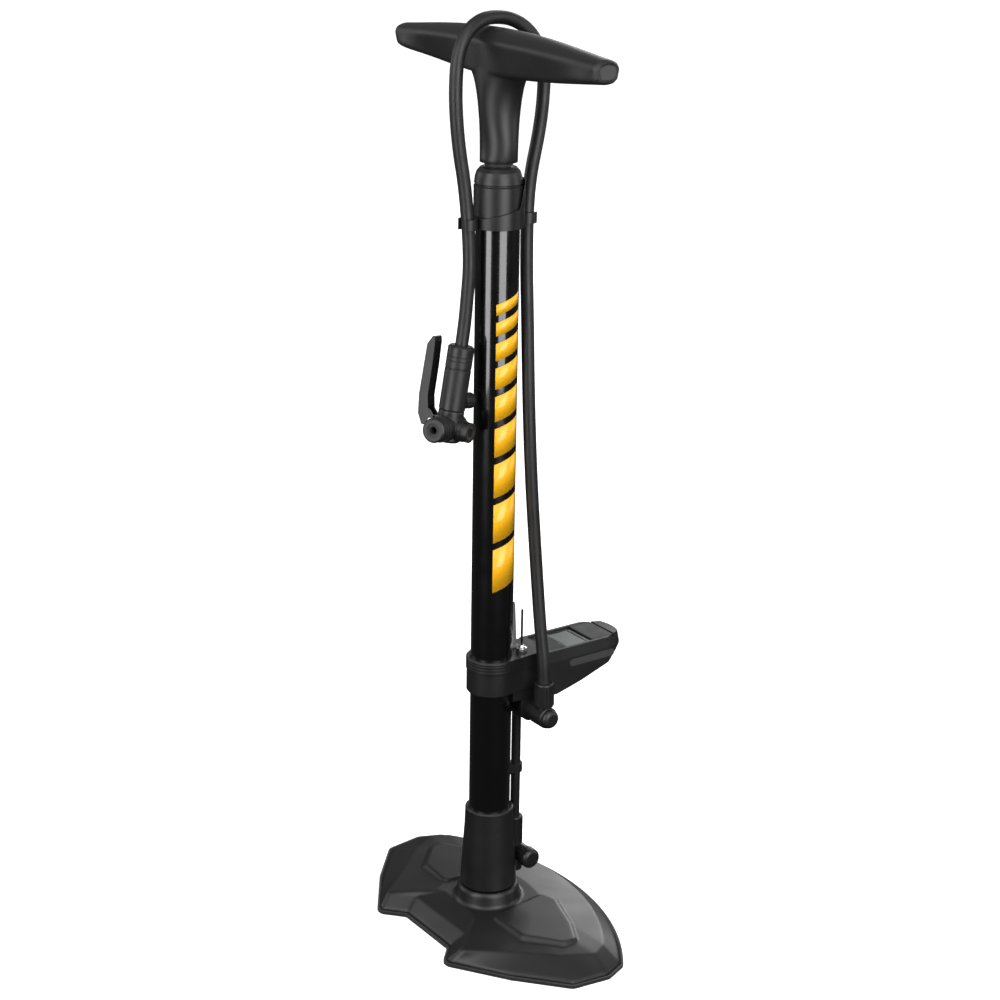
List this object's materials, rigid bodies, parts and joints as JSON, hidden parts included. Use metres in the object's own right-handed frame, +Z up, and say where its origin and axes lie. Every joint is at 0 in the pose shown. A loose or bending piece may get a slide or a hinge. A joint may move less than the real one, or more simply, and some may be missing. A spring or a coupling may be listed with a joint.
{
  "type": "floor bike pump",
  "caption": "Upright floor pump for bicycle tyres with a winged foot, digital pressure gauge and a hose with a lever-lock twin valve head.",
  "frame": {"origin": "on the floor, on the axis of the barrel", "axes": "+Z up along the barrel, +X along the handle, +Y towards the pressure gauge"},
  "size_m": [0.2658, 0.1895, 0.7077],
  "materials": {
    "satin_black": "satin moulded",
    "foot_rubber": "matt",
    "gloss_black": "gloss",
    "dark_plastic": "satin moulded",
    "gauge_plastic": "satin moulded",
    "trim_grey": "satin",
    "handle_plastic": "satin moulded",
    "head_plastic": "satin moulded",
    "lever_plastic": "satin moulded",
    "hose_rubber": "satin",
    "seal_rubber": "matt",
    "inner_plastic": "matt",
    "pipe_metal": "dark satin",
    "rod_steel": "polished",
    "fastener_steel": "plain",
    "needle_silver": "polished",
    "needle_dark": "satin",
    "cone_grey": "satin",
    "window_glass": "clear",
    "lcd_grey": "matt",
    "button_rubber": "textured",
    "board_green": "matt",
    "sensor_metal": "plain"
  },
  "bodies": {
    "pump": {"base_shell": "satin_black", "foot_rim": "foot_rubber", "centre_foot": "foot_rubber", "barrel": "gloss_black", "foot_sleeve": "dark_plastic", "gauge_collar": "dark_plastic", "valve_block": "dark_plastic", "barrel_cap": "dark_plastic", "hose_dock": "dark_plastic", "pipe_clip": "dark_plastic", "hose_elbow": "dark_plastic", "elbow_cap": "dark_plastic", "drain_knob": "dark_plastic", "hose_ferrule": "dark_plastic", "gauge_body": "gauge_plastic", "gauge_bezel": "gauge_plastic", "battery_cover": "gauge_plastic", "gauge_trim": "trim_grey", "head_sleeve": "head_plastic", "head_body": "head_plastic", "presta_cap": "head_plastic", "schrader_cap": "head_plastic", "bleed_knob": "head_plastic", "hose_riser": "hose_rubber", "hose_loop": "hose_rubber", "hose_drop": "hose_rubber", "base_plug_seal": "seal_rubber", "pipe_seals": "seal_rubber", "presta_grommet": "seal_rubber", "schrader_grommet": "seal_rubber", "needle_holder": "seal_rubber", "base_plug": "inner_plastic", "rod_bushing": "inner_plastic", "window_mask": "inner_plastic", "air_pipe": "pipe_metal", "base_screws": "fastener_steel", "gauge_screws": "fastener_steel", "lever_pin": "fastener_steel", "check_spring": "fastener_steel", "gauge_lens": "window_glass", "lcd_screen": "lcd_grey", "gauge_board": "board_green", "pressure_sensor": "sensor_metal", "coin_cell": "sensor_metal"},
    "piston": {"piston_head": "inner_plastic", "piston_cup": "seal_rubber"},
    "handle": {"piston_rod": "rod_steel", "piston_nut": "fastener_steel", "rod_bumper": "seal_rubber", "handle_body": "handle_plastic", "end_cap_left": "trim_grey", "end_cap_right": "trim_grey", "handle_bolt": "fastener_steel"},
    "lever": {"lever": "lever_plastic"},
    "plunger": {"lever_plunger": "inner_plastic"},
    "needle": {"needle_base": "needle_silver", "needle_tube": "needle_dark"},
    "cone": {"cone_nozzle": "cone_grey"},
    "button": {"mode_button": "button_rubber"},
    "poppet": {"check_poppet": "inner_plastic"}
  },
  "joints": [
    {"name": "pump_stroke", "type": "slide", "parent": "pump", "child": "piston", "axis": [0, 0, 1], "range_m": [0, 0.5], "deforming": ["hose_loop"]},
    {"name": "handle_turn", "type": "hinge", "parent": "piston", "child": "handle", "pos_m": [0, 0, 0], "axis": [0, 0, 1], "range_deg": [-30, 30]},
    {"name": "lever_swing", "type": "hinge", "parent": "pump", "child": "lever", "pos_m": [-0.0126, -0.0462, 0.4153], "axis": [0.436, -0.8865, 0.1547], "range_deg": [0, 90]},
    {"name": "plunger_push", "type": "slide", "parent": "pump", "child": "plunger", "axis": [0.8999, 0.4295, -0.075], "range_m": [0, 0.002]},
    {"name": "needle_lift", "type": "slide", "parent": "pump", "child": "needle", "axis": [0, 0, 1], "range_m": [0, 0.04]},
    {"name": "cone_lift", "type": "slide", "parent": "pump", "child": "cone", "axis": [0, 0, 1], "range_m": [0, 0.045]},
    {"name": "button_press", "type": "slide", "parent": "pump", "child": "button", "axis": [0, 0, -1], "range_m": [0, 0.001], "stiffness_N_per_m": 400, "springref_m": -0.001},
    {"name": "valve_lift", "type": "slide", "parent": "pump", "child": "poppet", "axis": [0, 0, 1], "range_m": [0, 0.0015], "stiffness_N_per_m": 60, "springref_m": -0.005, "deforming": ["check_spring"]}
  ],
  "couplings": [
    {"joint": "plunger_push", "follows": "lever_swing", "m_per_rad": 0.0012732}
  ]
}
